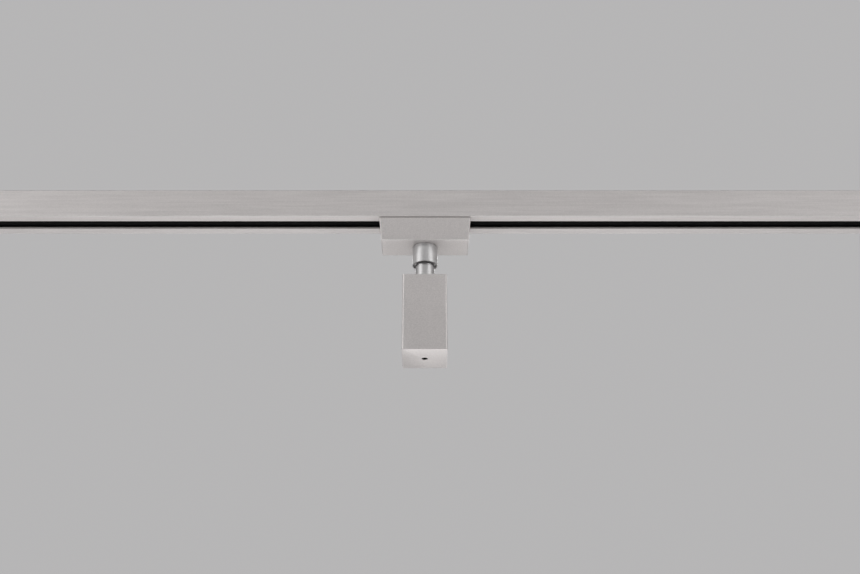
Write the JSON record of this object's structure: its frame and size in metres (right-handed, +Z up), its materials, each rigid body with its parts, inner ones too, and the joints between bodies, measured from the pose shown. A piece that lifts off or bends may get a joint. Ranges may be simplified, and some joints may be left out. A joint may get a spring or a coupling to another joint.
{
  "type": "track lighting fixture",
  "caption": "Surface-mounted lighting track with a slide-in adapter box and a slim box-shaped spotlight on a swivelling, tilting stem.",
  "frame": {"origin": "centre of the track's ceiling face", "axes": "+X along the track, +Y the way the lamp head shines, +Z up into the ceiling"},
  "size_m": [1, 0.046, 0.1637],
  "materials": {
    "painted_housing": "satin titanium-grey anodised, fine grain",
    "rail_aluminium": "satin anodised, faint brushing along the rail",
    "turned_aluminium": "satin turned and anodised",
    "polished_ring": "polished",
    "black_insulation": "matte",
    "grey_moulding": "fine moulded texture",
    "black_moulding": "fine moulded texture",
    "copper": "drawn copper, satin",
    "brass": "satin",
    "steel": "zinc plated",
    "black_steel": "black oxide",
    "board": "solder-masked laminate",
    "board_white": "white solder mask",
    "component_plastic": "moulded",
    "bearing_plastic": "natural acetal",
    "wire_insulation": "satin silicone",
    "rubber": "matte",
    "reflector_metal": "vacuum-metallised",
    "emitter": "silicone and phosphor",
    "glass": "clear toughened",
    "dark_plate": "matt black"
  },
  "bodies": {
    "rail": {"rail_profile": "rail_aluminium", "liner_front": "black_insulation", "liner_back": "black_insulation", "conductor_live_1": "copper", "conductor_neutral_1": "copper", "conductor_live_2": "copper", "conductor_neutral_2": "copper", "earth_strip": "copper", "end_cap_right": "grey_moulding", "end_cap_left": "grey_moulding", "end_cap_screws": "steel", "feed_block": "black_moulding", "feed_terminals": "brass", "feed_terminal_screws": "brass"},
    "adapter": {"adapter_housing": "painted_housing", "adapter_cover": "black_moulding", "cover_screws": "steel", "contact_carrier": "black_moulding", "earth_contact": "copper", "driver_board": "board", "driver_components": "component_plastic", "terminal_block": "bearing_plastic", "terminal_screws": "brass", "adapter_wires": "wire_insulation", "swivel_sleeve": "turned_aluminium", "sleeve_nut": "steel", "swivel_bush": "bearing_plastic"},
    "lock_left": {"lock_lever_left": "black_moulding", "lock_cam_left": "steel"},
    "lock_right": {"lock_lever_right": "black_moulding", "lock_cam_right": "steel", "contact_rotor": "black_moulding", "rotor_contacts": "copper"},
    "selector": {"circuit_selector": "black_moulding"},
    "stem": {"stem": "turned_aluminium", "neck_ring": "polished_ring", "thrust_washer": "steel", "retaining_ring": "steel", "stem_lead": "rubber", "pivot_screws": "black_steel", "friction_washers": "bearing_plastic"},
    "head": {"head_knuckle": "steel", "head_housing": "painted_housing", "knuckle_screws": "steel", "lead_grommet": "rubber", "heat_spreader": "turned_aluminium", "bottom_screw": "black_steel", "led_board": "board_white", "led_emitters": "emitter", "reflectors": "reflector_metal", "reflector_plate": "dark_plate", "front_glass": "glass", "glass_gasket": "rubber", "front_bezel": "painted_housing", "bezel_screws": "black_steel", "head_lead": "wire_insulation"}
  },
  "joints": [
    {"name": "track_slide", "type": "slide", "parent": "rail", "child": "adapter", "axis": [1, 0, 0], "range_m": [-0.42, 0.45]},
    {"name": "lock_lever_left_turn", "type": "hinge", "parent": "adapter", "child": "lock_left", "pos_m": [-0.0225, 0, -0.0328], "axis": [0, 0, 1], "range_deg": [0, 90]},
    {"name": "lock_lever_right_turn", "type": "hinge", "parent": "adapter", "child": "lock_right", "pos_m": [0.0225, 0, -0.0328], "axis": [0, 0, -1], "range_deg": [0, 90]},
    {"name": "circuit_select", "type": "slide", "parent": "adapter", "child": "selector", "axis": [1, 0, 0], "range_m": [0, 0.004]},
    {"name": "swivel", "type": "hinge", "parent": "adapter", "child": "stem", "pos_m": [0, 0, -0.074], "axis": [0, 0, 1], "range_deg": [-175, 175]},
    {"name": "tilt", "type": "hinge", "parent": "stem", "child": "head", "pos_m": [0, 0, -0.0848], "axis": [1, 0, 0], "range_deg": [-45, 45]}
  ]
}
